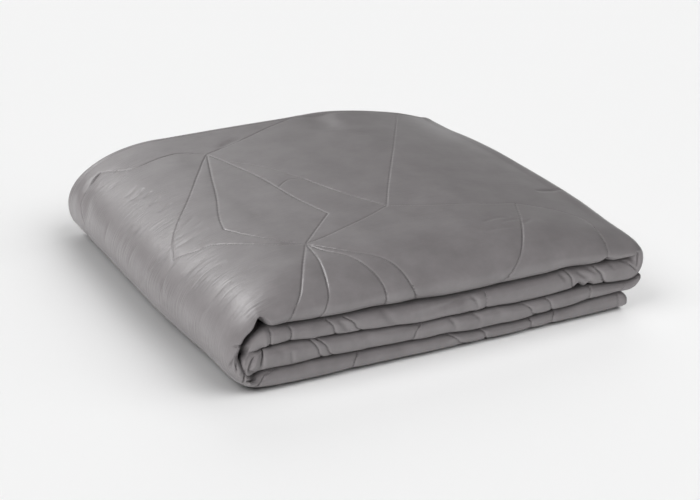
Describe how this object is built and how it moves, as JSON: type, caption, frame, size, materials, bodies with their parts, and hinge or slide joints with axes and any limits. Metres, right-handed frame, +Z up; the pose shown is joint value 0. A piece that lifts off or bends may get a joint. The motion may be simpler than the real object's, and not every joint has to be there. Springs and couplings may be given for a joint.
{
  "type": "folded cooling blanket",
  "caption": "Square quilted grey cooling blanket, folded into a low pile with a round wrap at one side, stacked fold edges in front and hems behind.",
  "frame": {"origin": "centre of the pile's box, at the height of the surface it lies on", "axes": "+X from the round wrap to the side with the free ends, +Y from the front folds to the hemmed edges, +Z up"},
  "size_m": [0.5756, 0.552, 0.1286],
  "materials": {
    "cloth": "smooth satin-woven grey shell with a soft sheen, quilted over thin wadding"
  },
  "bodies": {
    "root": {"blanket": "cloth"}
  },
  "joints": []
}
